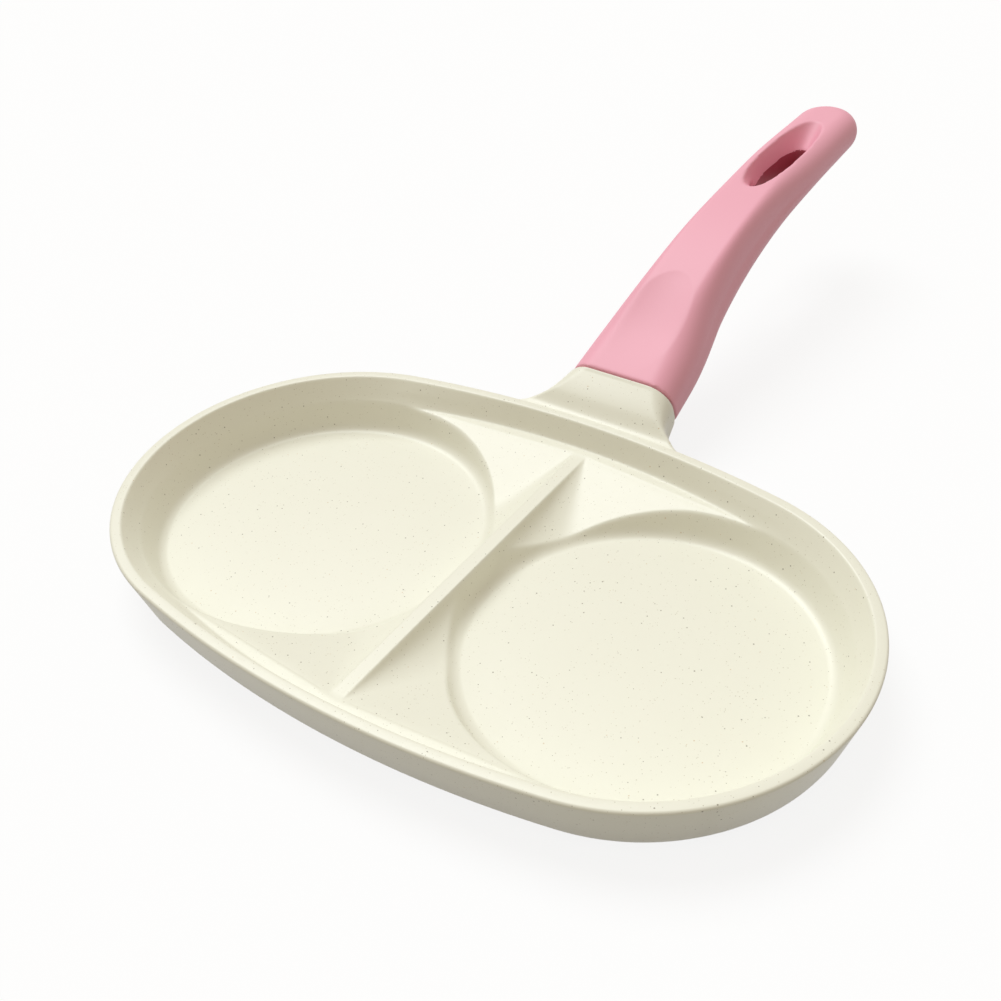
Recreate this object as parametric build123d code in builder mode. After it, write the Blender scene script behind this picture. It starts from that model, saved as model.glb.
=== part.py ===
"""Divided egg frying pan: an oval cast pan with two round wells side by side, a straight rib
between them, and a moulded handle bolted to a tang on the back of the casting.

Millimetres. The origin is the middle of the pan on the surface it stands on. X runs along the
two wells, Y runs from the middle of the pan towards the handle, and Z points up.
"""

import os
from math import acos, asin, cos, degrees, radians, sin, tan

from build123d import *

os.makedirs("parts", exist_ok=True)

# Outline of the rim, seen from above: two round ends joined by two long shallow arcs
pan_length = 280.0
pan_width = 167.0
end_radius = 77.0
rim_width = 4.4
rim_edge_radius = 0.6

# Heights
pan_height = 23.0
floor_height = 3.8
ledge_height = 14.5
base_edge_radius = 6.0

# Walls, as angles from the vertical
outer_draft = 16.0
inner_draft = 25.0
well_draft = 22.5

# Wells: a round floor each, with a soft foot all round
well_floor_radius = 61.0
well_foot_radius = 5.0
well_bite = 0.15

# Rib between the wells, as high as the ledge
rib_top_width = 5.4
rib_draft = 12.0

# Four scoops: hollow cones that open from a corner of rib and ledge down to a well
ledge_width = 4.3
scoop_edge_height = 2.6

# Underside: a pierced steel plate under each well, let in flush with the casting
disc_radius = 52.0
disc_thickness = 0.8
disc_hole_radius = 3.2
disc_hole_pitch = 20.0
disc_hole_rings = 2

# Joint face between the neck of the casting and the handle
joint_reach = 17.1
joint_top = 33.9
joint_tilt = 19.0
joint_width = 45.0
joint_depth = 24.0

# Neck of the casting, as sections from inside the rim: reach and rise from the rim's top
# outer edge, width and depth. It is low and wide at the rim, and rises in a hollow curve.
neck_sections = [
    (-2.2, -0.8, 76.0, 15.0),
    (1.0, 0.2, 66.0, 17.0),
    (6.0, 4.6, 53.0, 19.6),
]

# Handle, as sections along its top line: reach and rise from the joint, width and depth
grip_sections = [
    (19.4, 8.0, 42.6, 27.0),
    (44.0, 19.6, 36.0, 28.6),
    (74.0, 28.2, 31.8, 27.0),
    (109.0, 33.4, 30.0, 23.4),
    (144.0, 35.6, 31.0, 19.8),
    (190.5, 36.6, 29.4, 18.4),
]
grip_corner_share = 0.42

# Thumb dish: a shallow hollow in the top of the handle
dish_reach = 33.0
dish_depth = 0.7
dish_length = 54.0
dish_width = 26.0

# Hang hole: a long oval funnel that narrows to a smaller oval
hang_reach = 143.5
hang_mouth_length = 75.0
hang_mouth_width = 16.0
hang_throat_length = 44.0
hang_throat_width = 12.4
hang_throat_depth = 9.0
hang_mouth_rise = 3.0
hang_edge_radius = 1.2

# Tang on the joint face, and its pocket in the handle
tang_drop = 14.5
tang_width = 24.0
tang_thickness = 12.0
tang_length = 28.0
tang_draft = 1.0
tang_clearance = 0.3

# Bolt from the hang hole into the tang, with a flat washer and a spring washer under its head
bolt_radius = 2.5
bolt_tip_from_joint = 8.0
bolt_hole_clearance = 0.3
bolt_head_radius = 4.6
bolt_head_height = 3.4
drive_width = 1.2
drive_length = 5.0
drive_depth = 2.0
washer_radius = 5.0
washer_thickness = 1.0
spring_washer_radius = 4.4
spring_washer_thickness = 1.2
spring_washer_gap = 15.0
washer_clearance = 0.2
bolt_seat_from_joint = 44.0
channel_radius = 5.3

# Places that follow from the sizes above
end_centre = pan_length / 2 - end_radius
wall_inset_at_ledge = rim_width + (pan_height - ledge_height) * tan(radians(inner_draft))
well_top_radius = well_floor_radius + (ledge_height - floor_height) * tan(radians(well_draft))
well_x = pan_length / 2 - wall_inset_at_ledge - well_top_radius + well_bite
well_rim_radius = well_floor_radius + (pan_height - floor_height) * tan(radians(well_draft))
ledge_y = pan_width / 2 - wall_inset_at_ledge - ledge_width
joint_y = pan_width / 2 + joint_reach

joint_normal = Vector(0, cos(radians(joint_tilt)), sin(radians(joint_tilt)))
joint_face = Plane(origin=(0, joint_y, joint_top), x_dir=(-1, 0, 0), z_dir=joint_normal)
bolt_axis = Plane(
    origin=joint_face.from_local_coords((0, -tang_drop, 0)), x_dir=(-1, 0, 0), z_dir=joint_normal
)


def four_arc_oval(height, centre_x, radius, half_width):
    """An oval of two round ends and two long shallow arcs that meet them smoothly."""
    side_radius = (centre_x**2 + half_width**2 - radius**2) / (2 * (half_width - radius))
    side_centre = side_radius - half_width
    tangent_x = centre_x * side_radius / (side_radius - radius)
    tangent_y = radius * side_centre / (side_radius - radius)
    with BuildSketch(Plane.XY.offset(height)) as oval:
        with BuildLine():
            back_right = (tangent_x, tangent_y)
            front_right = (tangent_x, -tangent_y)
            front_left = (-tangent_x, -tangent_y)
            back_left = (-tangent_x, tangent_y)
            ThreePointArc(back_left, (0, half_width), back_right)
            ThreePointArc(back_right, (centre_x + radius, 0), front_right)
            ThreePointArc(front_right, (0, -half_width), front_left)
            ThreePointArc(front_left, (-centre_x - radius, 0), back_left)
        make_face()
    return oval.sketch


def rim_oval(height, inset):
    """The rim's outline moved inwards by one distance all round, as a face at one height."""
    return four_arc_oval(height, end_centre, end_radius - inset, pan_width / 2 - inset)


def ledge_oval():
    """The outer edge of the ledge. Its round ends follow the wells, where the ledge runs out."""
    return four_arc_oval(
        ledge_height, well_x, well_top_radius - well_bite, pan_width / 2 - wall_inset_at_ledge
    )


def grip_section(plane, width, depth, half=False):
    """A cross-section with large round corners, hung below the plane's origin."""
    with BuildSketch(plane) as section:
        with Locations((0, -depth / 2)):
            RectangleRounded(width, depth, depth * grip_corner_share)
            if half:
                Rectangle(
                    width, depth, align=(Align.MIN, Align.CENTER), mode=Mode.INTERSECT
                )
    return section.sketch


def oval_section(plane, length, width):
    """An oval with its long side along the handle."""
    with BuildSketch(plane) as section:
        Ellipse(width / 2, length / 2)
    return section.sketch


def scoop_cone():
    """Corner, axis, half angle and reach of the cone that hollows one side of one corner.

    The cone's point is the corner of rib and ledge. It touches three lines: the rib's edge, the
    line along the ledge that just touches the top of the well, and the valley, which runs down
    to the foot of the well's wall on the side that faces the corner.
    """
    corner = Vector(rib_top_width / 2, ledge_y, ledge_height)
    from_centre = Vector(corner.X - well_x, corner.Y, 0)
    touch_angle = asin(well_top_radius / from_centre.length)
    touch_length = from_centre.length * cos(touch_angle)
    along_rib = Vector(0, -1, 0)
    along_ledge = (from_centre * -1).normalized().rotate(Axis.Z, degrees(touch_angle))
    edge_height = floor_height + scoop_edge_height
    edge_radius = well_floor_radius + scoop_edge_height * tan(radians(well_draft))
    valley_end = Vector(well_x, 0, edge_height) + from_centre.normalized() * edge_radius
    along_valley = (valley_end - corner).normalized()
    axis = (along_ledge - along_rib).cross(along_valley - along_rib).normalized()
    if axis.Z < 0:
        axis = axis * -1
    reach_x = corner.X + touch_length * along_ledge.X
    return corner, axis, degrees(acos(axis.dot(along_rib))), reach_x


# One scoop, for the back corner of the right well, kept within that quarter of the pan
scoop_corner, scoop_axis, scoop_half_angle, scoop_reach_x = scoop_cone()
scoop_length = well_x + well_floor_radius
with BuildPart() as scoop:
    with Locations(Plane(origin=scoop_corner, z_dir=scoop_axis)):
        Cone(
            bottom_radius=0,
            top_radius=scoop_length * tan(radians(scoop_half_angle)),
            height=scoop_length,
            align=(Align.CENTER, Align.CENTER, Align.MIN),
        )
    with BuildSketch(Plane.XY.offset(floor_height)):
        Rectangle(scoop_reach_x, ledge_y, align=(Align.MIN, Align.MIN))
    extrude(amount=ledge_height - floor_height, mode=Mode.INTERSECT)


# Casting: pan, neck and tang in one piece of coated aluminium
with BuildPart() as pan_body:
    extrude(rim_oval(pan_height, 0), amount=-pan_height, taper=outer_draft)
    fillet(pan_body.edges().group_by(Axis.Z)[-1], radius=rim_edge_radius)
    fillet(pan_body.edges().group_by(Axis.Z)[0], radius=base_edge_radius)

    # Seats for the steel plates
    with BuildSketch(Plane.XY):
        with Locations((-well_x, 0), (well_x, 0)):
            Circle(disc_radius)
    extrude(amount=disc_thickness, mode=Mode.SUBTRACT)

    # Neck, flared where it leaves the rim
    neck = []
    for reach, rise, width, depth in neck_sections:
        top = (0, pan_width / 2 + reach, pan_height + rise)
        neck.append(grip_section(Plane(origin=top, x_dir=(-1, 0, 0), z_dir=(0, 1, 0)), width, depth))
    loft([*neck, grip_section(joint_face, joint_width, joint_depth)])

    # Tang, with the tapped hole for the bolt
    with BuildSketch(bolt_axis):
        Rectangle(tang_width, tang_thickness)
    extrude(amount=tang_length, taper=tang_draft)
    with BuildSketch(bolt_axis.offset(tang_length)):
        Circle(bolt_radius)
    extrude(amount=bolt_tip_from_joint - tang_length, mode=Mode.SUBTRACT)

    # Cavity down to the ledge, the two wells, and the four scoops
    loft([rim_oval(pan_height, rim_width), ledge_oval()], mode=Mode.SUBTRACT)
    for side in (-1, 1):
        well_plane = Plane(origin=(side * well_x, 0, 0), x_dir=(1, 0, 0), z_dir=(0, -1, 0))
        with BuildSketch(well_plane) as well_profile:
            with BuildLine():
                Polyline(
                    (0, floor_height),
                    (well_floor_radius, floor_height),
                    (well_rim_radius, pan_height),
                    (0, pan_height),
                    close=True,
                )
            make_face()
            foot = well_profile.vertices().group_by(Axis.Z)[0].sort_by(Axis.X)[-1]
            fillet(foot, radius=well_foot_radius)
        revolve(axis=Axis((side * well_x, 0, 0), (0, 0, 1)), mode=Mode.SUBTRACT)
    right_back = scoop.part
    right_front = mirror(right_back, about=Plane.XZ, mode=Mode.PRIVATE)
    left_back = mirror(right_back, about=Plane.YZ, mode=Mode.PRIVATE)
    left_front = mirror(right_front, about=Plane.YZ, mode=Mode.PRIVATE)
    add([right_back, right_front, left_back, left_front], mode=Mode.SUBTRACT)

    # Rib, standing from ledge to ledge
    rib_spread = (ledge_height - floor_height) * tan(radians(rib_draft))
    with BuildSketch(Plane.XZ):
        with BuildLine():
            Polyline(
                (-rib_top_width / 2, ledge_height),
                (rib_top_width / 2, ledge_height),
                (rib_top_width / 2 + rib_spread, floor_height),
                (-rib_top_width / 2 - rib_spread, floor_height),
                close=True,
            )
        make_face()
    extrude(amount=ledge_y, both=True)

pan_body.part.label = "pan_body"
export_step(pan_body.part, "parts/pan_body.step")


# Steel plate, one under each well, pierced so that the casting grips it
def base_disc(side):
    """A round plate with a centre hole and rings of holes, seated flat in the pad of one well."""
    with BuildPart() as disc:
        with BuildSketch():
            with Locations((side * well_x, 0)):
                Circle(disc_radius)
                Circle(disc_hole_radius, mode=Mode.SUBTRACT)
                for ring in range(1, disc_hole_rings + 1):
                    with PolarLocations(ring * disc_hole_pitch, 6 * ring):
                        Circle(disc_hole_radius, mode=Mode.SUBTRACT)
        extrude(amount=disc_thickness)
    return disc.part


for name, side in (("base_disc_left", -1), ("base_disc_right", 1)):
    disc = base_disc(side)
    disc.label = name
    export_step(disc, f"parts/{name}.step")


def grip_plane(index):
    """The plane of one section of the handle, square to the top line at that place."""
    tops = [(0, 0)] + [(reach, rise) for reach, rise, width, depth in grip_sections]
    reach, rise = tops[index]
    last = tops[max(index - 1, 0)]
    following = tops[min(index + 1, len(tops) - 1)]
    along = Vector(0, following[0] - last[0], following[1] - last[1]).normalized()
    if index == 0:
        along = joint_normal
    return Plane(
        origin=(0, joint_y + reach, joint_top + rise), x_dir=(-1, 0, 0), z_dir=along
    )


def top_plane(at_reach):
    """The plane square to the handle's top line, at a reach between two of its sections."""
    tops = [(0, 0)] + [(reach, rise) for reach, rise, width, depth in grip_sections]
    before = [top for top in tops if top[0] <= at_reach][-1]
    after = [top for top in tops if top[0] > at_reach][0]
    slope = (after[1] - before[1]) / (after[0] - before[0])
    rise = before[1] + slope * (at_reach - before[0])
    return Plane(
        origin=(0, joint_y + at_reach, joint_top + rise),
        x_dir=(-1, 0, 0),
        z_dir=Vector(0, 1, slope).normalized(),
    )


# Handle: a moulding with a flat top, round sides and a round end
with BuildPart() as handle:
    sections = [grip_section(joint_face, joint_width, joint_depth)]
    for index, (reach, rise, width, depth) in enumerate(grip_sections, start=1):
        sections.append(grip_section(grip_plane(index), width, depth))
    loft(sections)
    end_reach, end_rise, end_width, end_depth = grip_sections[-1]
    end_plane = grip_plane(len(grip_sections))
    half_end = grip_section(end_plane, end_width, end_depth, half=True)
    revolve(half_end, axis=Axis(end_plane.origin, end_plane.y_dir * -1), revolution_arc=180)

    # Thumb dish, the outermost part of a large ring that touches the top from above
    dish_plane = top_plane(dish_reach)
    long_radius = (dish_length**2 / 4 + dish_depth**2) / (2 * dish_depth)
    cross_radius = (dish_width**2 / 4 + dish_depth**2) / (2 * dish_depth)
    ring_centre = dish_plane.from_local_coords((0, long_radius - dish_depth, 0))
    with Locations(Plane(origin=ring_centre, z_dir=(1, 0, 0))):
        Torus(long_radius - cross_radius, cross_radius, mode=Mode.SUBTRACT)

    # Hang hole, from above the top of the handle to below its underside
    across = top_plane(hang_reach)
    spread = 1 + hang_mouth_rise / hang_throat_depth
    mouth_length = hang_throat_length + spread * (hang_mouth_length - hang_throat_length)
    mouth_width = hang_throat_width + spread * (hang_mouth_width - hang_throat_width)
    mouth = Plane(origin=across.origin, x_dir=(1, 0, 0), z_dir=across.y_dir)
    throat = mouth.offset(-hang_throat_depth)
    loft(
        [
            oval_section(mouth.offset(hang_mouth_rise), mouth_length, mouth_width),
            oval_section(throat, hang_throat_length, hang_throat_width),
        ],
        mode=Mode.SUBTRACT,
    )
    extrude(
        oval_section(throat, hang_throat_length, hang_throat_width),
        amount=-grip_sections[0][3],
        mode=Mode.SUBTRACT,
    )

    # Pocket for the tang, passage for the bolt, and the channel to reach its head
    with BuildSketch(bolt_axis):
        Rectangle(tang_width + 2 * tang_clearance, tang_thickness + 2 * tang_clearance)
    extrude(amount=tang_length + tang_clearance, mode=Mode.SUBTRACT)
    with BuildSketch(bolt_axis):
        Circle(bolt_radius + bolt_hole_clearance)
    extrude(amount=bolt_seat_from_joint, mode=Mode.SUBTRACT)
    channel_end = hang_reach / cos(radians(joint_tilt)) - hang_throat_length / 4
    with BuildSketch(bolt_axis.offset(bolt_seat_from_joint)):
        Circle(channel_radius)
    extrude(amount=channel_end - bolt_seat_from_joint, mode=Mode.SUBTRACT)

handle.part.label = "handle"
export_step(handle.part, "parts/handle.step")


# Flat washer against the seat in the handle
washer_plane = bolt_axis.offset(bolt_seat_from_joint)
with BuildPart() as flat_washer:
    with BuildSketch(washer_plane):
        Circle(washer_radius)
        Circle(bolt_radius + washer_clearance, mode=Mode.SUBTRACT)
    extrude(amount=washer_thickness)

flat_washer.part.label = "flat_washer"
export_step(flat_washer.part, "parts/flat_washer.step")


# Spring washer: a ring of square wire with a gap, flattened under the bolt's head
spring_plane = washer_plane.offset(washer_thickness)
with BuildPart() as spring_washer:
    wire_width = spring_washer_radius - bolt_radius - washer_clearance
    with BuildSketch(Plane(origin=spring_plane.origin, x_dir=spring_plane.x_dir,
                           z_dir=spring_plane.y_dir)):
        with Locations((bolt_radius + washer_clearance, 0)):
            Rectangle(wire_width, spring_washer_thickness, align=(Align.MIN, Align.MAX))
    revolve(
        axis=Axis(spring_plane.origin, spring_plane.z_dir),
        revolution_arc=360 - spring_washer_gap,
    )

spring_washer.part.label = "spring_washer"
export_step(spring_washer.part, "parts/spring_washer.step")


# Handle bolt: round head with a cross recess, and a shank that ends inside the tang
head_plane = spring_plane.offset(spring_washer_thickness)
with BuildPart() as handle_bolt:
    with BuildSketch(bolt_axis.offset(bolt_tip_from_joint)):
        Circle(bolt_radius)
    head_from_tip = bolt_seat_from_joint + washer_thickness + spring_washer_thickness
    extrude(amount=head_from_tip - bolt_tip_from_joint)
    with BuildSketch(head_plane):
        Circle(bolt_head_radius)
    extrude(amount=bolt_head_height)
    fillet(handle_bolt.edges().sort_by(Axis(head_plane.origin, head_plane.z_dir))[-1], 1.2)
    with BuildSketch(head_plane.offset(bolt_head_height)):
        Rectangle(drive_length, drive_width)
        Rectangle(drive_width, drive_length)
    extrude(amount=-drive_depth, mode=Mode.SUBTRACT)

handle_bolt.part.label = "handle_bolt"
export_step(handle_bolt.part, "parts/handle_bolt.step")
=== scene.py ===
# %% [markdown]
# # A divided egg pan, from its CAD solids to a picture
#
# The pan is a cream, speckled casting with two round wells and a pink moulded handle. The CAD
# model fixes every size and place. Blender gives it soft edges, a speckled coating, a soft-touch
# handle and studio light. Everything here is in metres, in the frame of the CAD model: X runs
# along the two wells, Y runs towards the handle, and the pan stands on Z = 0.

# %% Load the frame
from math import asin, atan2, copysign, cos, hypot, pi, radians, sin, sqrt, tan

import bmesh
import bpy
from mathutils import Matrix, Vector
from mathutils.geometry import delaunay_2d_cdt


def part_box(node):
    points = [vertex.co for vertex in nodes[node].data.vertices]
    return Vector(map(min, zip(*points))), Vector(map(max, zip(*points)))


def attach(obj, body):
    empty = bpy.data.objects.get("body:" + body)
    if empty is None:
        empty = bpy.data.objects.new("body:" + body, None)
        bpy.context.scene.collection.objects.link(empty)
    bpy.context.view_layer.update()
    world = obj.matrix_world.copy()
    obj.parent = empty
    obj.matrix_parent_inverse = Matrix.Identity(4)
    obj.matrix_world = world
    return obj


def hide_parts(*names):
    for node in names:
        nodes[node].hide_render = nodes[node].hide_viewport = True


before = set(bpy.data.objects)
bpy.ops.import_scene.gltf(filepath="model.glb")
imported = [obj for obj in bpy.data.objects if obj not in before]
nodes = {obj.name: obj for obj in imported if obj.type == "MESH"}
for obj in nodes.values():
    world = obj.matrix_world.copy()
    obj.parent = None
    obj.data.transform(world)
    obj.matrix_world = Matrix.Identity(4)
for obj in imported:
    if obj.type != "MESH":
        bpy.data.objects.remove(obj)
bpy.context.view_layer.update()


mm = 0.001
print("CAD nodes:", ", ".join(sorted(nodes)))

# %% [markdown]
# ## The camera
#
# The place and lens were found from the photograph: the rim, the floors of the wells and the rib
# are known curves, so one camera fits them all. It stands in front of the pan and to its right,
# looks down at 38 degrees, and is rolled a little, which makes the pan lean in the picture.

# %% Camera
camera_place = Vector((196.0, -242.5, 286.8)) * mm
camera_heading = radians(36.79)
camera_height_angle = radians(38.32)
camera_roll = radians(-4.04)
sensor_width = 36.0
focal_length = 43.77

back = Vector(
    (
        sin(camera_heading) * cos(camera_height_angle),
        -cos(camera_heading) * cos(camera_height_angle),
        sin(camera_height_angle),
    )
)
level_right = (-back).cross(Vector((0, 0, 1))).normalized()
level_up = level_right.cross(-back)
right = level_right * cos(camera_roll) + level_up * sin(camera_roll)
up = level_up * cos(camera_roll) - level_right * sin(camera_roll)

camera_data = bpy.data.cameras.new("camera")
camera_data.sensor_width = sensor_width
camera_data.lens = focal_length
camera = bpy.data.objects.new("camera", camera_data)
camera_turn = Matrix((right, up, back)).transposed().to_4x4()
camera.matrix_world = Matrix.Translation(camera_place) @ camera_turn
bpy.context.scene.collection.objects.link(camera)
bpy.context.scene.camera = camera
print("camera at", [round(value, 3) for value in camera_place])

# %% [markdown]
# ## Colours and nodes
#
# Colours are written as the hex values that a colour picker shows. Shaders work with linear
# light, so one function turns the first into the second. A second small function adds a node,
# gives it its settings and links its inputs, so that each material reads as a short list.


# %% Colour and node helpers
def linear(hex_colour):
    """An sRGB hex colour as linear red, green, blue and a solid alpha."""
    channels = []
    for i in (1, 3, 5):
        c = int(hex_colour[i : i + 2], 16) / 255
        channels.append(c / 12.92 if c <= 0.04045 else ((c + 0.055) / 1.055) ** 2.4)
    return (*channels, 1)


def add_node(tree, kind, settings=None, **inputs):
    """Adds one node. An input is a value, or the socket of another node to link from."""
    node = tree.nodes.new(kind)
    for name, value in (settings or {}).items():
        setattr(node, name, value)
    for name, value in inputs.items():
        key = int(name[1:]) if name[0] == "_" else name.replace("_", " ")
        if isinstance(value, bpy.types.NodeSocket):
            tree.links.new(value, node.inputs[key])
        else:
            node.inputs[key].default_value = value
    return node


def new_material(name):
    """An empty material with its output and a Principled shader."""
    material = bpy.data.materials.new(name)
    material.use_nodes = True
    tree = material.node_tree
    tree.nodes.clear()
    shader = tree.nodes.new("ShaderNodeBsdfPrincipled")
    output = tree.nodes.new("ShaderNodeOutputMaterial")
    tree.links.new(shader.outputs[0], output.inputs["Surface"])
    return material, tree, shader


def dress(piece, material):
    """Gives a piece one material."""
    piece.data.materials.clear()
    piece.data.materials.append(material)


# %% [markdown]
# ## The casting: its sizes
#
# The real pan is one piece of die-cast aluminium. Its rim is an oval of four arcs, its wells are
# cones with a soft foot, and four scoops slope down to the wells from the ends of the rib. These
# are the CAD model's own driving sizes, in millimetres, so the finished surface lies where the
# CAD solid lies, with the soft edges that a mould and a thick coating leave.

# %% Sizes of the casting
pan_length = 280.0
pan_width = 167.0
end_radius = 77.0
rim_width = 4.4
pan_height = 23.0
floor_height = 3.8
ledge_height = 14.5
outer_draft = radians(16)
inner_draft = radians(25)
well_draft = radians(22.5)
well_floor_radius = 61.0
well_foot_radius = 5.0
well_bite = 0.15
rib_top_width = 5.4
rib_draft = radians(12)
ledge_width = 4.3

wall_inset = rim_width + (pan_height - ledge_height) * tan(inner_draft)
well_top_radius = well_floor_radius + (ledge_height - floor_height) * tan(well_draft)
well_x = pan_length / 2 - wall_inset - well_top_radius + well_bite
ledge_y = pan_width / 2 - wall_inset - ledge_width
print(f"wells {2 * well_top_radius:.1f} mm across the top, {2 * well_x:.1f} mm apart")

# %% [markdown]
# ## An oval of four arcs
#
# Two round ends and two long shallow arcs meet with no corner. Each arc has a fixed number of
# points, so that rings of different size have the same number and can be joined by quads. A
# second function tells how deep inside the oval a point lies, which the height of the walls uses.


# %% Ovals
end_steps = 180
side_steps = 140


def four_arc_oval(centre_x, radius, half_width):
    """The end circle's place and radius, the side circle's, and the angle where they meet."""
    side_radius = (centre_x**2 + half_width**2 - radius**2) / (2 * (half_width - radius))
    side_centre = side_radius - half_width
    return centre_x, radius, side_radius, side_centre, atan2(side_centre, centre_x)


def oval_ring(oval, inset=0.0):
    """Points round the oval, moved inwards, from the right end towards the handle and round."""
    centre_x, radius, side_radius, side_centre, meet = oval
    arcs = (
        (centre_x, 0, radius, -meet, meet, end_steps),
        (0, -side_centre, side_radius, meet, pi - meet, side_steps),
        (-centre_x, 0, radius, pi - meet, pi + meet, end_steps),
        (0, side_centre, side_radius, pi + meet, 2 * pi - meet, side_steps),
    )
    points = []
    for arc_x, arc_y, arc_radius, start, end, steps in arcs:
        for step in range(steps):
            angle = start + (end - start) * step / steps
            reach = arc_radius - inset
            points.append((arc_x + reach * cos(angle), arc_y + reach * sin(angle)))
    return points


def depth_inside(oval, x, y):
    """How far a point is inside the oval. Outside, it is negative."""
    centre_x, radius, side_radius, side_centre, meet = oval
    if atan2(abs(y), abs(x) - centre_x) < meet:
        return radius - hypot(abs(x) - centre_x, y)
    return side_radius - hypot(x, abs(y) + side_centre)


def between(ring_a, ring_b, share):
    """A ring part of the way from one ring to another."""
    pairs = zip(ring_a, ring_b)
    return [(ax + (bx - ax) * share, ay + (by - ay) * share) for (ax, ay), (bx, by) in pairs]


rim = four_arc_oval(pan_length / 2 - end_radius, end_radius, pan_width / 2)
inner_rim = four_arc_oval(
    pan_length / 2 - end_radius, end_radius - rim_width, pan_width / 2 - rim_width
)
ledge_oval = four_arc_oval(well_x, well_top_radius - well_bite, pan_width / 2 - wall_inset)
print("rings have", len(oval_ring(rim)), "points")

# %% [markdown]
# ## The inside as one height
#
# Nothing inside the pan overhangs, so its whole surface can be written as a height for each x
# and y. Every shape gives its own height: the well's wall, the slope of the scoop, the rib and
# the outer wall. The lower of two hollows wins, and the higher of two solids. Where two shapes
# cross, the change is spread over about a millimetre, which rounds the edge as the coating does.

# %% Heights of the shapes inside
foot_turn = radians(90) - well_draft
foot_start = well_floor_radius - well_foot_radius * tan(foot_turn / 2)
foot_end = foot_start + well_foot_radius * sin(foot_turn)


def smooth_min(a, b, spread):
    """The lower of two heights, eased into each other where they are within the spread."""
    near = max(spread - abs(a - b), 0.0) / spread
    return min(a, b) - near * near * spread / 4


def smooth_max(a, b, spread):
    return -smooth_min(-a, -b, spread)


def well_height(x, y):
    """A flat floor, an arc at its foot, and a sloping wall."""
    radius = hypot(x - well_x, y)
    if radius < foot_start:
        return floor_height
    if radius < foot_end:
        arc = radius - foot_start
        return floor_height + well_foot_radius - sqrt(well_foot_radius**2 - arc**2)
    return floor_height + (radius - well_floor_radius) / tan(well_draft)


# The line along the ledge where a scoop starts: from the end of the rib to where it just
# touches the top of the well. Across it, distances count outwards.
corner = Vector((rib_top_width / 2, ledge_y))
to_centre = Vector((well_x, 0)) - corner
touch_angle = asin(well_top_radius / to_centre.length)
line_length = to_centre.length * cos(touch_angle)
ledge_line = Matrix.Rotation(touch_angle, 2) @ to_centre.normalized()
across_line = Vector((-ledge_line.y, ledge_line.x))
scoop_end_x = corner.x + ledge_line.x * line_length

# A scoop falls by its slope for each millimetre, and levels out a little above the well's floor
scoop_slope = 0.27
scoop_above_floor = 1.2
scoop_deepest = ledge_height - floor_height - scoop_above_floor
scoop_foot = 2.5
fan_share = 2.1
far_above = pan_height * 2


def scoop_height(x, y):
    """A slope that falls evenly from the ledge to the well, and turns up to the rib.

    The side of the rib is a quarter of an ellipse. It widens with the depth of the scoop, like
    an opening fan.
    """
    outside = (Vector((x, y)) - corner).dot(across_line)
    if x > scoop_end_x:
        return far_above
    if outside > 0:
        return ledge_height + outside
    drop = max(smooth_min(-scoop_slope * outside, scoop_deepest, scoop_foot), 0)
    from_rib = x - rib_top_width / 2
    reach = fan_share * drop
    if from_rib <= 0:
        return ledge_height
    if from_rib >= reach:
        return ledge_height - drop
    share = 1 - from_rib / reach
    return ledge_height - drop * sqrt(1 - share * share)


def rib_side_height(x):
    return ledge_height - (abs(x) - rib_top_width / 2) / tan(rib_draft)


def wall_height(x, y):
    """The outer wall, as a slope from the rim to the ledge that goes on down as the well's."""
    from_ledge = depth_inside(ledge_oval, x, y)
    if from_ledge > 0:
        return ledge_height - from_ledge / tan(well_draft)
    wall_width = depth_inside(inner_rim, x, y) - from_ledge
    return ledge_height - (pan_height - ledge_height) * from_ledge / wall_width


# How many millimetres of height each change from one shape to the next is spread over. Towards
# the end of a scoop its edge grows firm.
scoop_to_well = 1.1
well_to_rib = 1.5
top_edges = 1.0
wall_to_ledge = 1.4
scoop_fade = 15.0
firmest = 0.02


def inside_height(x, y):
    """The height of the pan's inner surface. The four quarters of the pan are alike."""
    x, y = abs(x), abs(y)
    if hypot(x - well_x, y) < foot_start:
        return floor_height
    well = smooth_max(well_height(x, y), rib_side_height(x), well_to_rib)
    near_end = min(max((scoop_end_x - x) / scoop_fade, firmest), 1)
    hollow = smooth_min(well, scoop_height(x, y), scoop_to_well * near_end)
    level = smooth_min(ledge_height, hollow, top_edges)
    return smooth_max(level, wall_height(x, y), wall_to_ledge)


print("height in the well, on the scoop and on the rib:")
for place in ((well_x, 0), (16, 58), (0, 20)):
    print("   ", place, round(inside_height(*place), 2))

# %% [markdown]
# ## Points for the inside
#
# A mesh shades well where its edges follow the shape. So the points stand in rings along the
# outer wall and round each well, in lines along the rib, and in an even pattern between them.
# The flat floors need only a few. A Delaunay fill then joins all of them with neat triangles.

# %% Lay out the points
fill_from = 0.6
wall_shares = (0.7, 0.8, 0.88, 0.95)
ledge_insets = (0.0, 0.35, 0.75, 1.2, 1.7, 2.2, 2.7)
rib_lines = (0.0, 1.0, 1.6, 2.1, 2.5, 2.9, 3.3, 3.8, 4.4, 5.2)
line_offsets = (-1.0, -0.6, -0.3, 0.0, 0.3, 0.6, 1.0)
ring_gap = 0.65
ring_count = 15
ring_steps = 360
rib_step = 1.2
even_step = 1.0
floor_step = 9.0
floor_margin = 3.0
clearance = 0.4
line_clearance = 0.3
row_height = 0.866

wall_top = between(oval_ring(inner_rim), oval_ring(ledge_oval), fill_from)
points = [Vector(point) for point in wall_top]
edge_count = len(points)
for share in wall_shares:
    points += [Vector(p) for p in between(oval_ring(inner_rim), oval_ring(ledge_oval), share)]
for inset in ledge_insets:
    points += [Vector(p) for p in oval_ring(ledge_oval, inset)]
rib_band = rib_lines[-1] + clearance
ring_radii = [foot_start + ring_gap * step for step in range(ring_count)]


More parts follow.
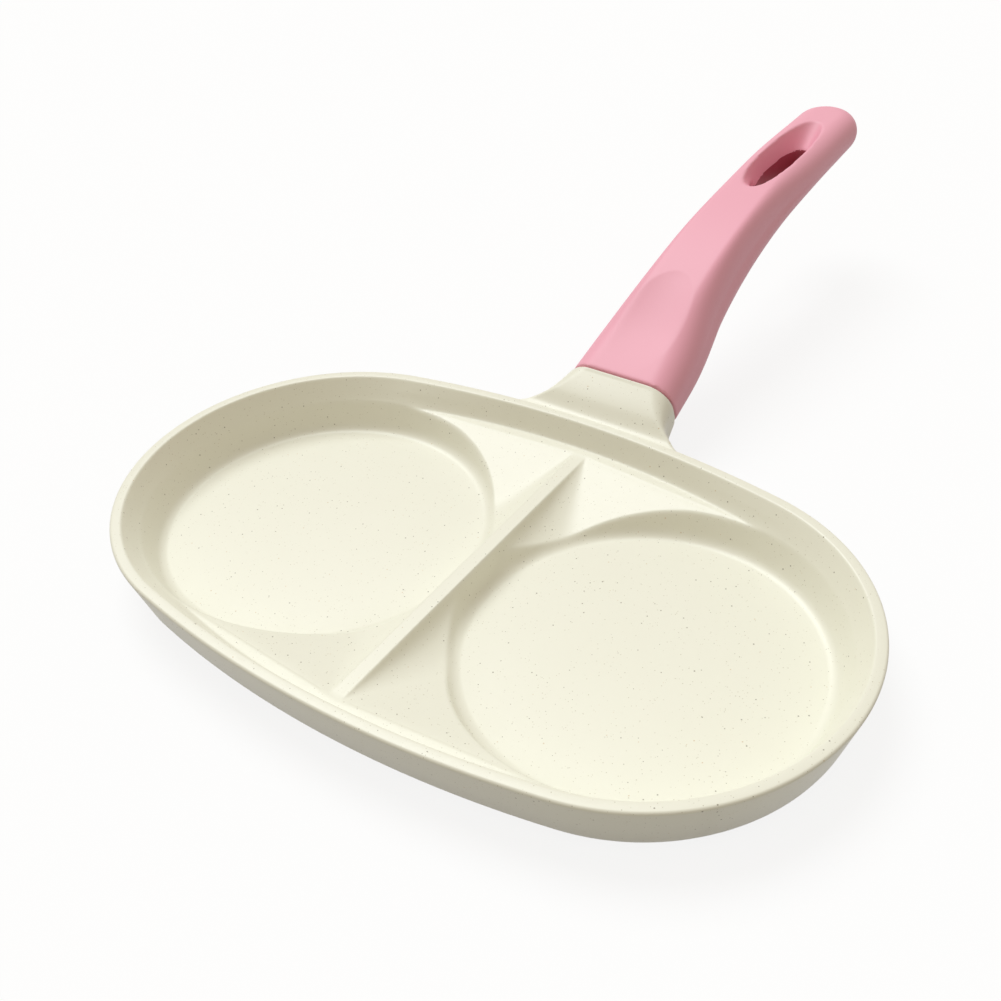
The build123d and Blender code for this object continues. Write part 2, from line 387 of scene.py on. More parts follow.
def clear_of_wall(x, y):
    return depth_inside(ledge_oval, x, y) > ledge_insets[-1] + clearance


def clear_of_ledge_line(x, y):
    """Whether a point is off the line where a scoop leaves the ledge."""
    from_corner = Vector((abs(x), abs(y))) - corner
    beside = abs(from_corner.dot(across_line))
    return beside > line_offsets[-1] + clearance or from_corner.dot(ledge_line) > line_length


for side in (-1, 1):
    for radius in ring_radii:
        for step in range(ring_steps):
            angle = 2 * pi * step / ring_steps
            x, y = well_x + radius * cos(angle), radius * sin(angle)
            if x > rib_band and clear_of_wall(x, y):
                points.append(Vector((side * x, y)))
rib_count = int(2 * ledge_y / rib_step) + 4
for line in rib_lines:
    for step in range(rib_count):
        y = (step - (rib_count - 1) / 2) * rib_step
        if clear_of_wall(line, y):
            points += [Vector((line, y)), Vector((-line, y))] if line else [Vector((0, y))]


def even_pattern(step, wanted):
    """A pattern of equal triangles over the whole pan, kept where it is wanted."""
    rows = int(pan_width / (step * row_height))
    columns = int(pan_length / step)
    for row in range(rows):
        for column in range(columns):
            x = (column + 0.5 * (row % 2) - columns / 2) * step
            y = (row - rows / 2) * step * row_height
            if wanted(x, y, hypot(abs(x) - well_x, y)):
                yield Vector((x, y))


def on_scoops(x, y, from_well):
    beyond_rings = from_well > ring_radii[-1] + clearance and abs(x) > rib_band
    return beyond_rings and clear_of_wall(x, y) and clear_of_ledge_line(x, y)


for offset in line_offsets:
    for step in range(int(line_length / even_step)):
        x, y = corner + ledge_line * (step + 0.5) * even_step + across_line * offset
        off_rings = hypot(x - well_x, y) > ring_radii[-1] + line_clearance
        if x > rib_band and off_rings and clear_of_wall(x, y):
            points += [Vector((sx * x, sy * y)) for sx in (-1, 1) for sy in (-1, 1)]
points += even_pattern(even_step, on_scoops)
points += even_pattern(floor_step, lambda x, y, from_well: from_well < foot_start - floor_margin)
print(len(points), "points for the inside")

# %% Fill them with triangles
fill_tolerance = 1e-4
edge_loop = list(range(edge_count))
flat, _, triangles, *_ = delaunay_2d_cdt(points, [], [edge_loop], 1, fill_tolerance)
surface = [(p.x, p.y, inside_height(p.x, p.y)) for p in flat]
print(len(surface), "points and", len(triangles), "triangles inside the pan")

# %% [markdown]
# ## From points to a piece
#
# Each piece is gathered as a list of points and faces in millimetres. Rings of equal length are
# joined by quads. One function then makes the Blender object: it scales to metres, merges points
# that coincide, turns the faces outwards and shades them smooth.


# %% Mesh helpers
class Shell:
    """Points and faces of a surface while it grows, in millimetres."""

    def __init__(self):
        self.points, self.faces = [], []

    def add(self, points, faces=()):
        start = len(self.points)
        self.points += [tuple(point) for point in points]
        self.faces += [tuple(start + i for i in face) for face in faces]
        return start

    def rings(self, rings, close_first=False, close_last=False):
        """Joins rings of points, each with the same count, and may close either end."""
        starts = [self.add(ring) for ring in rings]
        count = len(rings[0])
        for first, second in zip(starts, starts[1:]):
            for i in range(count):
                j = (i + 1) % count
                self.faces.append((first + i, first + j, second + j, second + i))
        if close_first:
            self.faces.append(tuple(starts[0] + i for i in reversed(range(count))))
        if close_last:
            self.faces.append(tuple(starts[-1] + i for i in range(count)))


def make_piece(name, shell, merge=0.01):
    mesh = bpy.data.meshes.new(name)
    mesh.from_pydata([Vector(point) * mm for point in shell.points], [], shell.faces)
    form = bmesh.new()
    form.from_mesh(mesh)
    bmesh.ops.remove_doubles(form, verts=form.verts, dist=merge * mm)
    bmesh.ops.recalc_face_normals(form, faces=form.faces)
    form.to_mesh(mesh)
    form.free()
    mesh.shade_smooth()
    piece = bpy.data.objects.new(name, mesh)
    bpy.context.scene.collection.objects.link(piece)
    return piece


def triangle_count(piece):
    return sum(len(face.vertices) - 2 for face in piece.data.polygons)


def rounded_line(points, radii, steps=6):
    """A line of straight runs whose corners are arcs. A radius of 0 leaves a corner sharp."""
    line = [Vector(points[0])]
    for before, corner, after, radius in zip(points, points[1:], points[2:], radii):
        before, corner, after = Vector(before), Vector(corner), Vector(after)
        to_before, to_after = (before - corner).normalized(), (after - corner).normalized()
        half_angle = to_before.angle(to_after) / 2
        centre = corner + (to_before + to_after).normalized() * radius / sin(half_angle)
        first = corner + to_before * radius / tan(half_angle) - centre
        last = corner + to_after * radius / tan(half_angle) - centre
        for step in range(steps + 1):
            share = step / steps
            line.append(centre + first.slerp(last, share) * radius if radius else corner)
    return line + [Vector(points[-1])]


# %% [markdown]
# ## The outside of the casting
#
# From the wall's top the surface rolls over the flat rim, down the sloping outer wall and round
# a wide edge into the flat base. That line is the same all round, so it is drawn once, as a
# distance inwards from the rim's outline and a height, and swept round the oval as rings.

# %% Rim, outer wall and base
rim_edge_radius = 1.0
rim_inner_rounding = 0.6
base_edge_radius = 6.0
base_inset = pan_height * tan(outer_draft)
base_ring_inset = base_inset + base_edge_radius
plate_radius = 52.0
plate_thickness = 0.8
plate_steps = 120
rim_curve_from = 0.08
rim_curve_steps = 5


def wall_ring(share):
    """A ring on the inner wall, at a share of the way down from the rim to the ledge."""
    height = pan_height - share * (pan_height - ledge_height)
    ring = between(oval_ring(inner_rim), oval_ring(ledge_oval), share)
    return [Vector((x, y, height)) for x, y in ring]


casting = Shell()
casting.add(surface, triangles)
rings = [[(x, y, inside_height(x, y)) for x, y in wall_top]]
rings += [wall_ring(share) for share in (0.5, 0.4, 0.3, 0.2, 0.12)]

# The inner edge of the rim, rounded by one curve for each point of the ring
flat_ring = oval_ring(rim, rim_width - rim_inner_rounding)
for step in range(rim_curve_steps + 1):
    t = step / rim_curve_steps
    rings.append(
        [
            low * (1 - t) ** 2 + edge * 2 * t * (1 - t) + Vector((x, y, pan_height)) * t**2
            for low, edge, (x, y) in zip(wall_ring(rim_curve_from), wall_ring(0), flat_ring)
        ]
    )
outline = rounded_line(
    [
        (rim_width - rim_inner_rounding, pan_height),
        (0, pan_height),
        (base_inset, 0),
        (base_ring_inset, 0),
    ],
    [rim_edge_radius, base_edge_radius],
)
for inset, height in outline[1:]:
    rings.append([(x, y, height) for x, y in oval_ring(rim, inset)])
casting.rings(rings)

base_ring = oval_ring(rim, base_ring_inset)
seat = [
    (plate_radius * cos(2 * pi * i / plate_steps), plate_radius * sin(2 * pi * i / plate_steps))
    for i in range(plate_steps)
]
base_points = [Vector(point) for point in base_ring]
loops = [list(range(len(base_points)))]
for side in (-1, 1):
    loops.append(list(range(len(base_points), len(base_points) + plate_steps)))
    base_points += [Vector((side * well_x + x, y)) for x, y in seat]
flat, _, base_faces, *_ = delaunay_2d_cdt(base_points, [], loops, 1, fill_tolerance)


def on_seat(face):
    middle_x = sum(flat[i].x for i in face) / 3
    middle_y = sum(flat[i].y for i in face) / 3
    return hypot(abs(middle_x) - well_x, middle_y) < plate_radius


casting.add([(p.x, p.y, 0) for p in flat], [face for face in base_faces if not on_seat(face)])
for side in (-1, 1):
    ring = [(side * well_x + x, y) for x, y in seat]
    casting.rings(
        [[(x, y, 0) for x, y in ring], [(x, y, plate_thickness) for x, y in ring]], close_last=True
    )

pan = make_piece("pan", casting)
print("pan", triangle_count(pan), "triangles")

# %% [markdown]
# ## Neck and handle share one way of drawing
#
# Both are a row of cross-sections along a curved line: flat on top, with large round corners.
# A few sections are given, and a smooth curve through them gives all those in between.


# %% Cross-sections along a curve
corner_share = 0.42
ridge_lean = 1.2
ridge_narrowing = 0.55
section_steps = 12
joint_y = pan_width / 2 + 17.1
joint_top = 33.9
joint_tilt = radians(19)
joint_width = 45.0
joint_depth = 24.0
joint = (joint_y, joint_top, joint_tilt, joint_width, joint_depth)


def curve_through(stations, at):
    """Each value of the stations at one place, on a smooth curve through all of them.

    A station is a tuple whose first value is its place along the curve.
    """
    last = len(stations) - 2
    i = min(max(sum(1 for s in stations if s[0] <= at) - 1, 0), last)
    start, end = stations[i], stations[i + 1]
    length = end[0] - start[0]
    share = (at - start[0]) / length

    def slope(j, k):
        if j == 0 or j == len(stations) - 1:
            a, b = (stations[0], stations[1]) if j == 0 else (stations[-2], stations[-1])
        else:
            a, b = stations[j - 1], stations[j + 1]
        return (b[k] - a[k]) / (b[0] - a[0])

    values = []
    for k in range(1, len(start)):
        a, b = slope(i, k) * length, slope(i + 1, k) * length
        p, q = start[k], end[k]
        values.append(
            (2 * share**3 - 3 * share**2 + 1) * p
            + (share**3 - 2 * share**2 + share) * a
            + (3 * share**2 - 2 * share**3) * q
            + (share**3 - share**2) * b
        )
    return values


def section_outline(width, depth, shrink=0.0, corner=corner_share, ridge=0.0):
    """A rectangle with round corners, its top in the middle at (0, 0), as x and height.

    With a ridge of 1, the upper corners start as a firm edge and the sides lean in a little.
    """
    radius = depth * corner
    half_width, half_depth = width / 2, depth / 2
    line = []
    for turn in range(4):
        upper = turn < 2
        radius_x = radius * (1 - ridge_narrowing * ridge) if upper else radius
        middle_x = half_width - radius_x - (ridge_lean * ridge if upper else 0)
        side_x = middle_x if turn in (0, 3) else -middle_x
        side_z = half_depth - radius if upper else radius - half_depth
        for step in range(section_steps + 1):
            angle = pi / 2 * (turn + step / section_steps)
            x = side_x + (radius_x - shrink) * cos(angle)
            line.append((x, side_z + (radius - shrink) * sin(angle) - half_depth))
    return line


def section_ring(y, top, tilt, width, depth, shrink=0.0, forward=0.0, **shape):
    """The section stood up at its place, leaning back by the tilt."""
    return [
        (
            x,
            y + forward * cos(tilt) - height * sin(tilt),
            top + forward * sin(tilt) + height * cos(tilt),
        )
        for x, height in section_outline(width, depth, shrink, **shape)
    ]


# %% [markdown]
# ## The neck
#
# The neck leaves the rim wide and low, rises in a hollow curve, and ends in the flat face that
# the handle is bolted to. A tang goes on from there into the handle. The edge at the joint is
# broken, which shows as a thin dark line between neck and handle.

# %% Neck
neck_stations = [
    (pan_width / 2 - 2.2, pan_height - 0.8, 0.0, 76.0, 15.0, 0.25),
    (pan_width / 2 + 1.0, pan_height + 0.2, 0.0, 66.0, 17.0, 0.25),
    (pan_width / 2 + 6.0, pan_height + 4.6, 0.0, 53.0, 19.6, 0.3),
    (*joint, corner_share),
]
joint_edge_radius = 0.45
joint_gap = 0.8
neck_steps = 28
edge_steps = 6

neck_shell = Shell()
neck_rings = []
neck_start = neck_stations[0][0]
neck_end = joint_y - joint_gap - 2 * joint_edge_radius
for step in range(neck_steps):
    y = neck_start + (neck_end - neck_start) * step / (neck_steps - 1)
    top, tilt, width, depth, corner_part = curve_through(neck_stations, y)
    neck_rings.append(section_ring(y, top, tilt, width, depth, corner=corner_part))
for step in range(edge_steps + 1):
    angle = pi / 2 * step / edge_steps
    shrink = joint_edge_radius * (1 - cos(angle))
    forward = joint_edge_radius * (sin(angle) - 1) - joint_gap
    neck_rings.append(section_ring(*joint, shrink=shrink, forward=forward))
neck_shell.rings(neck_rings, close_first=True, close_last=True)

tang_drop = 14.5
tang_width = 24.0
tang_thickness = 12.0
tang_length = 28.0
tang_root = 1.0
tang_taper = 0.5


def joint_point(x, z, forward):
    """A point on the bolt's line: sideways, up and away from the joint face."""
    return (
        x,
        joint_y + forward * cos(joint_tilt) + (tang_drop - z) * sin(joint_tilt),
        joint_top + forward * sin(joint_tilt) - (tang_drop - z) * cos(joint_tilt),
    )


def tang_section(forward, grow):
    """The tang's cross-section, made larger or smaller on every side."""
    half_width, half_height = tang_width / 2 + grow, tang_thickness / 2 + grow
    turns = ((-1, -1), (1, -1), (1, 1), (-1, 1))
    return [joint_point(a * half_width, b * half_height, forward) for a, b in turns]


neck_shell.rings(
    [tang_section(-tang_root, 0), tang_section(tang_length, -tang_taper)],
    close_first=True,
    close_last=True,
)
neck = make_piece("neck", neck_shell)
print("neck", triangle_count(neck), "triangles")

# %% [markdown]
# ## The handle
#
# The handle is a soft-touch moulding with no sharp edge anywhere. It starts as a plain swept
# body with a round end. A funnel for the hang hole and the holes for tang and bolt are cut out
# of it. Remeshing it into small even cells and relaxing those rounds every edge by about a
# millimetre, as the soft skin does, and last the thumb dish is pressed into the top.

# %% Body of the handle
grip_stations = [
    (0.0, 0.0, joint_width, joint_depth, corner_share, 0.0),
    (19.4, 8.0, 42.6, 27.0, corner_share, 0.2),
    (44.0, 19.6, 36.0, 28.6, corner_share, 0.7),
    (74.0, 28.2, 31.8, 27.0, corner_share, 1.0),
    (109.0, 33.4, 30.0, 23.4, 0.44, 0.8),
    (144.0, 35.6, 31.0, 19.8, 0.48, 0.2),
    (190.5, 36.6, 29.4, 18.4, 0.5, 0.0),
]
grip_steps = 90
tilt_run = 14.0
grip_length = grip_stations[-1][0]


def top_slope(reach):
    """How steeply the top of the handle rises at one place, as an angle."""
    low = max(reach - 1, 0)
    high = min(reach + 1, grip_length)
    rise = curve_through(grip_stations, high)[0] - curve_through(grip_stations, low)[0]
    return atan2(rise, high - low)


def tilt_at(reach):
    """The sections start square to the joint and soon stand square to the top line."""
    share = min(reach / tilt_run, 1)
    return joint_tilt + (top_slope(reach) - joint_tilt) * share


grip_shell = Shell()
grip_rings = []
for step in range(grip_steps + 1):
    reach = grip_length * step / grip_steps
    rise, width, depth, corner_part, ridge = curve_through(grip_stations, reach)
    place = (joint_y + reach, joint_top + rise, tilt_at(reach), width, depth)
    grip_rings.append(section_ring(*place, corner=corner_part, ridge=max(ridge, 0)))
grip_shell.rings(grip_rings, close_first=True, close_last=True)
grip = make_piece("grip", grip_shell)

end_rise, end_width, end_depth, end_corner, _ = curve_through(grip_stations, grip_length)
end_tilt = tilt_at(grip_length)
end_outline = section_outline(end_width, end_depth, corner=end_corner)
half_outline = [point for point in end_outline if point[0] >= 0]
half_outline.sort(key=lambda point: -point[1])
half_outline = [(0, half_outline[0][1]), *half_outline, (0, half_outline[-1][1])]
spin_steps = 72
end_shell = Shell()
end_rings = []
for radius, height in half_outline:
    ring = []
    for step in range(spin_steps):
        angle = 2 * pi * step / spin_steps
        x, forward = radius * cos(angle), radius * sin(angle)
        ring.append(
            (
                x,
                joint_y + grip_length + forward * cos(end_tilt) - height * sin(end_tilt),
                joint_top + end_rise + forward * sin(end_tilt) + height * cos(end_tilt),
            )
        )
    end_rings.append(ring)
end_shell.rings(end_rings)
round_end = make_piece("round_end", end_shell)
print("handle body", triangle_count(grip), "and its end", triangle_count(round_end), "triangles")

# %% Cutters for the hang hole, the tang and the bolt
hang_reach = 143.5
hang_mouth = (73.0, 16.6)
hang_throat = (45.0, 12.8)
hang_outlet = (36.0, 7.8)
hang_throat_depth = 9.0
hang_outlet_depth = 20.0
hang_rise = 3.0
fullness = 0.88
hang_top = joint_top + curve_through(grip_stations, hang_reach)[0]
hang_tilt = top_slope(hang_reach)


def oval_cut(drop, length, width, steps=96):
    """A ring of the funnel, at a depth below the top of the handle."""
    ring = []
    for step in range(steps):
        angle = 2 * pi * step / steps
        along = length / 2 * copysign(abs(sin(angle)) ** fullness, sin(angle))
        across = width / 2 * copysign(abs(cos(angle)) ** fullness, cos(angle))
        ring.append(
            (
                across,
                joint_y + hang_reach + along * cos(hang_tilt) + drop * sin(hang_tilt),
                hang_top + along * sin(hang_tilt) - drop * cos(hang_tilt),
            )
        )
    return ring


spread = 1 + hang_rise / hang_throat_depth
widest = [t + spread * (m - t) for m, t in zip(hang_mouth, hang_throat)]
funnel = Shell()
funnel.rings(
    [
        oval_cut(-hang_rise, *widest),
        oval_cut(hang_throat_depth, *hang_throat),
        oval_cut(hang_outlet_depth, *hang_outlet),
        oval_cut(hang_outlet_depth * 2, *hang_outlet),
    ],
    close_first=True,
    close_last=True,
)


def round_cut(radius, start, end, steps=32):
    turns = [2 * pi * step / steps for step in range(steps)]
    return [
        [joint_point(radius * cos(turn), radius * sin(turn), forward) for turn in turns]
        for forward in (start, end)
    ]


pocket_clearance = 0.3
pocket_run_in = 2.0
passage_overlap = 1.0
bolt_passage_radius = 2.8
bolt_seat = 44.0
channel_radius = 5.3
channel_end = hang_reach / cos(joint_tilt) - hang_throat[0] / 4
pocket_ends = (-pocket_run_in, tang_length + pocket_clearance)
pocket, passage, channel = Shell(), Shell(), Shell()
for shell, rings in (
    (pocket, [tang_section(forward, pocket_clearance) for forward in pocket_ends]),
    (passage, round_cut(bolt_passage_radius, 0, bolt_seat + passage_overlap)),
    (channel, round_cut(channel_radius, bolt_seat, channel_end)),
):
    shell.rings(rings, close_first=True, close_last=True)
cutters = [
    make_piece(name, shell)
    for name, shell in (
        ("funnel_cut", funnel),
        ("pocket_cut", pocket),
        ("passage_cut", passage),
        ("channel_cut", channel),
    )
]
print("cutters:", ", ".join(cutter.name for cutter in cutters))


# %% Join, cut and soften the handle
def apply_modifiers(piece):
    """Turns a piece with its modifiers into a plain mesh."""
    graph = bpy.context.evaluated_depsgraph_get()
    finished = bpy.data.meshes.new_from_object(piece.evaluated_get(graph))
    old = piece.data
    piece.modifiers.clear()
    piece.data = finished
    bpy.data.meshes.remove(old)


def add_modifier(piece, kind, **settings):
    modifier = piece.modifiers.new(kind.lower(), kind)
    for name, value in settings.items():
        setattr(modifier, name, value)


cell_size = 0.6 * mm
soften_share = 0.5
soften_rounds = 6
add_modifier(grip, "BOOLEAN", object=round_end, operation="UNION", solver="EXACT")
for cutter in cutters:
    add_modifier(grip, "BOOLEAN", object=cutter, operation="DIFFERENCE", solver="EXACT")
add_modifier(grip, "REMESH", mode="VOXEL", voxel_size=cell_size)
add_modifier(grip, "SMOOTH", factor=soften_share, iterations=soften_rounds)
apply_modifiers(grip)
for extra in (round_end, *cutters):
    bpy.data.objects.remove(extra)
grip.data.shade_smooth()
print("handle", triangle_count(grip), "triangles")

# %% Press the thumb dish
dish_reach = 24.5
dish_depth = 0.9
dish_length = 54.0
dish_width = 26.0
dish_tilt = top_slope(dish_reach)
least_upward = 0.5
facing_up = [vertex for vertex in grip.data.vertices if vertex.normal.z > least_upward]
for vertex in facing_up:
    along = (vertex.co.y / mm - joint_y - dish_reach) / cos(dish_tilt)
    across = vertex.co.x / mm
    away = hypot(along / (dish_length / 2), across / (dish_width / 2))
    if away < 1:
        fade = 1 + along / (dish_length / 2)
        depth = dish_depth * fade * (1 - away**2)
        vertex.co -= Vector((0, -sin(dish_tilt), cos(dish_tilt))) * depth * mm
grip.data.update()
grip.name = "handle_moulding"
print("dish pressed", dish_depth, "mm deep at its middle")

# %% Put the pieces on the body
for piece, node in ((pan, "pan_body"), (neck, "pan_body"), (grip, "handle")):
    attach(piece, "root")
    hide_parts(node)

# %% [markdown]
# ## Base plates
#
# Steel plates with round holes are pressed into the base, so that the pan also heats on an
# induction hob. The holes repeat on rings, which is work for Geometry Nodes: circles of points,
# a cutter on each point, and one cut.

# %% Geometry Nodes tree for a pierced plate
hole_radius = 3.2
hole_pitch = 20.0
hole_steps = 32


def pierced_plate_tree():
    """A round plate with a hole in its middle and on two rings of 6 and 12."""
    tree = bpy.data.node_groups.new("pierced_plate", "GeometryNodeTree")
    sizes = {}
    for name, kind in (
        ("Centre", "NodeSocketVector"),
        ("Radius", "NodeSocketFloat"),
        ("Thickness", "NodeSocketFloat"),
        ("Hole Radius", "NodeSocketFloat"),
        ("Pitch", "NodeSocketFloat"),
        ("Material", "NodeSocketMaterial"),
    ):
        sizes[name] = tree.interface.new_socket(name, in_out="INPUT", socket_type=kind)
    tree.interface.new_socket("Geometry", in_out="OUTPUT", socket_type="NodeSocketGeometry")
    inputs = tree.nodes.new("NodeGroupInput").outputs
    twice = add_node(
        tree, "ShaderNodeMath", {"operation": "MULTIPLY"}, _0=inputs["Pitch"], _1=2.0
    ).outputs[0]
    rings = [
        add_node(tree, "GeometryNodeMeshCircle", Vertices=count, Radius=radius).outputs["Mesh"]
        for count, radius in ((6, inputs["Pitch"]), (12, twice))
    ]
    middle = add_node(tree, "GeometryNodeMeshLine", Count=1).outputs["Mesh"]
    places = tree.nodes.new("GeometryNodeJoinGeometry")
    for mesh in (middle, *rings):
        tree.links.new(mesh, places.inputs[0])
    depth = add_node(
        tree, "ShaderNodeMath", {"operation": "MULTIPLY"}, _0=inputs["Thickness"], _1=3.0
    ).outputs[0]
    cutter = add_node(
        tree,
        "GeometryNodeMeshCylinder",
        Vertices=hole_steps,
        Radius=inputs["Hole Radius"],
        Depth=depth,
    ).outputs["Mesh"]
    holes = add_node(
        tree, "GeometryNodeInstanceOnPoints", Points=places.outputs[0], Instance=cutter
    ).outputs[0]
    holes = add_node(tree, "GeometryNodeRealizeInstances", _0=holes).outputs[0]
    plate = add_node(
        tree,
        "GeometryNodeMeshCylinder",
        Vertices=plate_steps,
        Radius=inputs["Radius"],
        Depth=inputs["Thickness"],
    ).outputs["Mesh"]
    cut = add_node(
        tree, "GeometryNodeMeshBoolean", {"operation": "DIFFERENCE"}, _0=plate, _1=holes
    )
    moved = add_node(
        tree, "GeometryNodeTransform", Geometry=cut.outputs[0], Translation=inputs["Centre"]
    ).outputs[0]
    real = add_node(tree, "GeometryNodeRealizeInstances", _0=moved).outputs[0]
    painted = add_node(
        tree, "GeometryNodeSetMaterial", Geometry=real, Material=inputs["Material"]
    ).outputs[0]
    output = tree.nodes.new("NodeGroupOutput")
    tree.links.new(painted, output.inputs[0])
    return tree, {name: socket.identifier for name, socket in sizes.items()}


# %% [markdown]
# ## The ceramic coating
#
# The casting is sprayed with a water-based ceramic coat: cream, satin, and speckled like an
# eggshell. The eye sees three things: a soft gloss, a surface that is very slightly uneven, as
# sprayed coats are, and specks of three kinds. The specks are small balls scattered through
# space, which the surface cuts, so they need no unwrapping and never smear on the walls.


# %% Specks scattered through a material
def specks(tree, place, spacing, radius, share):
    """A mask of round specks, by their spacing and largest radius and the share that is kept.

    Each cell of a Voronoi pattern has one point in it. The pattern's colour is random for each
    cell: its red makes the specks differ in size, and its green leaves out some of them.
    """
    cells = add_node(tree, "ShaderNodeTexVoronoi", Vector=place, Scale=1 / spacing)
    chance = add_node(tree, "ShaderNodeSeparateColor", Color=cells.outputs["Color"])
    edge = add_node(
        tree,
        "ShaderNodeMapRange",
        Value=chance.outputs["Red"],
        To_Min=0.35 * radius / spacing,
        To_Max=radius / spacing,
    )
    core = add_node(
        tree, "ShaderNodeMath", {"operation": "MULTIPLY"}, _0=edge.outputs[0], _1=0.55
    )
    ball = add_node(
        tree,
        "ShaderNodeMapRange",
        Value=cells.outputs["Distance"],
        From_Min=edge.outputs[0],
        From_Max=core.outputs[0],
    )
    kept = add_node(
        tree, "ShaderNodeMath", {"operation": "LESS_THAN"}, _0=chance.outputs["Green"], _1=share
    )
    mask = add_node(
        tree, "ShaderNodeMath", {"operation": "MULTIPLY"}, _0=ball.outputs[0], _1=kept.outputs[0]
    )
    return mask.outputs[0]


def paint_over(tree, below, mask, strength, hex_colour):
    """Mixes one colour over another where the mask is, as strongly as asked."""
    amount = add_node(tree, "ShaderNodeMath", {"operation": "MULTIPLY"}, _0=mask, _1=strength)
    mix = add_node(tree, "ShaderNodeMix", {"data_type": "RGBA"}, _0=amount.outputs[0])
    for socket, colour in ((mix.inputs[6], below), (mix.inputs[7], linear(hex_colour))):
        if isinstance(colour, bpy.types.NodeSocket):
            tree.links.new(colour, socket)
        else:
            socket.default_value = colour
    return mix.outputs[2]


def skin(tree, shader, colour, texture, roughness, relief):
    """Sets the colour, and lets one texture vary the gloss and raise a fine relief.

    The relief is how strong it is and how high, in metres. A height of 0 leaves it out.
    """
    tree.links.new(colour, shader.inputs["Base Color"])
    low, high = roughness
    gloss = add_node(tree, "ShaderNodeMapRange", Value=texture, To_Min=low, To_Max=high)
    tree.links.new(gloss.outputs[0], shader.inputs["Roughness"])
    strength, height = relief
    if height:
        bump = add_node(
            tree, "ShaderNodeBump", Strength=strength, Distance=height, Height=texture
        )
        tree.links.new(bump.outputs[0], shader.inputs["Normal"])


# %% Ceramic coating
# Sprayed water-based ceramic on aluminium: a satin skin, roughness about 0.4, with a fine
# orange peel. The dark and ochre specks are up to 0.7 mm across and the fine ones up to 0.5 mm.
coating, tree, shader = new_material("ceramic_coating")
place = add_node(tree, "ShaderNodeTexCoord").outputs["Object"]
cloud = add_node(tree, "ShaderNodeTexNoise", Vector=place, Scale=1 / (35 * mm), Detail=2.0)
colour = paint_over(tree, linear("#f3f3e5"), cloud.outputs[0], 0.35, "#eeeddc")
fine = specks(tree, place, 1.25 * mm, 0.26 * mm, 0.8)
ochre = specks(tree, place, 3.1 * mm, 0.34 * mm, 0.35)
moved = add_node(tree, "ShaderNodeMapping", Vector=place, Location=(0.5, 0.3, 0.7))
dark = specks(tree, moved.outputs[0], 2.7 * mm, 0.36 * mm, 0.75)
for mask, strength, hex_colour in (
    (fine, 0.55, "#b5ad92"),
    (ochre, 0.55, "#c9a975"),
    (dark, 0.8, "#8b8370"),
):
    colour = paint_over(tree, colour, mask, strength, hex_colour)
peel = add_node(tree, "ShaderNodeTexNoise", Vector=place, Scale=1 / (1.6 * mm), Detail=3.0)
skin(tree, shader, colour, peel.outputs[0], (0.32, 0.42), (0.18, 0.06 * mm))
print(coating.name, "has", len(tree.nodes), "nodes")

# %% [markdown]
# ## The soft-touch handle
#
# The handle is moulded and then coated with a soft-touch lacquer. It feels like rubber and
# scatters light at its surface, so it has no clear highlight and grows paler towards its
# outline. A wide soft gloss, a little sheen and a very fine grain give that look.

# %% Soft-touch moulding
# Phenolic moulding with a soft-touch lacquer: roughness about 0.5, with a fine spark-eroded
# grain of about 0.2 mm, drawn at 0.45 mm so that it shows.
moulding, tree, shader = new_material("soft_touch_moulding")
place = add_node(tree, "ShaderNodeTexCoord").outputs["Object"]
cloud = add_node(tree, "ShaderNodeTexNoise", Vector=place, Scale=1 / (25 * mm), Detail=2.0)
colour = paint_over(tree, linear("#f9b4c8"), cloud.outputs[0], 0.3, "#f5aec1")
grain = add_node(tree, "ShaderNodeTexNoise", Vector=place, Scale=1 / (0.45 * mm), Detail=2.0)
skin(tree, shader, colour, grain.outputs[0], (0.44, 0.58), (0.2, 0.03 * mm))
shader.inputs["Sheen Weight"].default_value = 0.06
shader.inputs["Sheen Roughness"].default_value = 0.4
shader.inputs["Sheen Tint"].default_value = linear("#ffd9df")
print(moulding.name, "has", len(tree.nodes), "nodes")

# Painted shade inside the throat of the hang hole: a darker, redder pink that stands in for the
# shade deep in the hole, mottled a little in its colour alone.
throat_painted_shade, tree, shader = new_material("throat_painted_shade")
place = add_node(tree, "ShaderNodeTexCoord").outputs["Object"]
grain = add_node(tree, "ShaderNodeTexNoise", Vector=place, Scale=1 / (0.6 * mm), Detail=2.0)
colour = paint_over(tree, linear("#a9485a"), grain.outputs[0], 0.4, "#9d4152")
tree.links.new(colour, shader.inputs["Base Color"])
shader.inputs["Roughness"].default_value = 0.45

# %% [markdown]
# ## Steel
#
# The base plates are punched from rolled magnetic stainless steel, whose fine rolling lines run
# one way. The screw and its washers are zinc plated, which looks bluish and a little patchy.

# %% Steel finishes
# Rolled stainless steel: metallic, roughness about 0.35, lines 0.4 mm apart and 40 mm long.
plate_steel, tree, shader = new_material("rolled_stainless_steel")
place = add_node(tree, "ShaderNodeTexCoord").outputs["Object"]
stretched = add_node(
    tree, "ShaderNodeMapping", Vector=place, Scale=(1 / (40 * mm), 1 / (0.4 * mm), 1 / (40 * mm))
)
lines = add_node(tree, "ShaderNodeTexNoise", Vector=stretched.outputs[0], Scale=1.0, Detail=3.0)
colour = paint_over(tree, linear("#c9c9c7"), lines.outputs[0], 0.5, "#b9b8b5")
skin(tree, shader, colour, lines.outputs[0], (0.28, 0.44), (0.2, 0.02 * mm))
shader.inputs["Metallic"].default_value = 1.0

